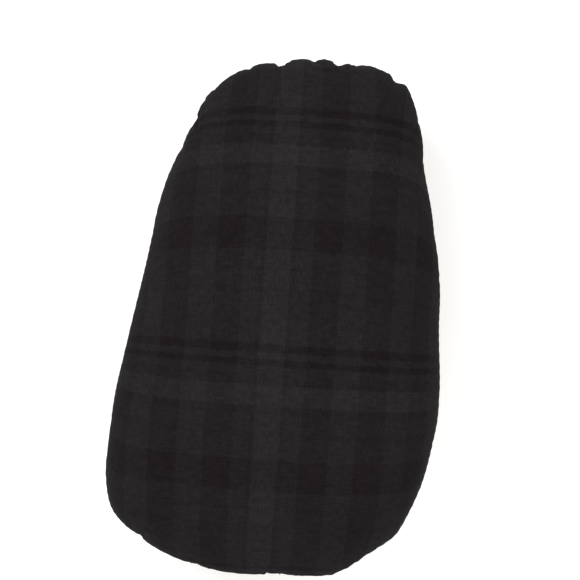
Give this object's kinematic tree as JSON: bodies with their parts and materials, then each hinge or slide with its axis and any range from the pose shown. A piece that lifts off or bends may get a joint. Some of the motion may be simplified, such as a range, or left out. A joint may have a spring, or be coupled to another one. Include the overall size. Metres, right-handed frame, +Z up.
{
  "type": "tailor's ham",
  "caption": "Firm ham-shaped pressing cushion with a dark checked wool side and a plain cotton side, packed with sawdust, for pressing darts, sleeve heads and curved seams.",
  "frame": {"origin": "on the table, under the middle of the ham's box, with the ham lying on its cotton side", "axes": "+Y along the ham to its narrow end, +Z up through the wool side, +X across it"},
  "size_m": [0.161, 0.2568, 0.096],
  "materials": {
    "wool_check": "matte brushed wool, dark tone-on-tone check",
    "cotton": "matte natural cotton drill",
    "lining": "matte close-woven calico",
    "sawdust": "packed fine sawdust",
    "dark_thread": "twisted sewing thread, slight sheen",
    "pale_thread": "twisted sewing thread, slight sheen"
  },
  "bodies": {
    "root": {"wool_cover": "wool_check", "cotton_cover": "cotton", "wool_side_lining": "lining", "cotton_side_lining": "lining", "sawdust_fill": "sawdust", "perimeter_seam_thread": "dark_thread", "closing_thread": "dark_thread", "wool_dart_thread_broad_left": "dark_thread", "wool_dart_thread_broad_right": "dark_thread", "wool_dart_thread_narrow_left": "dark_thread", "wool_dart_thread_narrow_right": "dark_thread", "cotton_dart_thread_broad_left": "pale_thread", "cotton_dart_thread_broad_right": "pale_thread", "cotton_dart_thread_narrow_left": "pale_thread", "cotton_dart_thread_narrow_right": "pale_thread"}
  },
  "joints": []
}
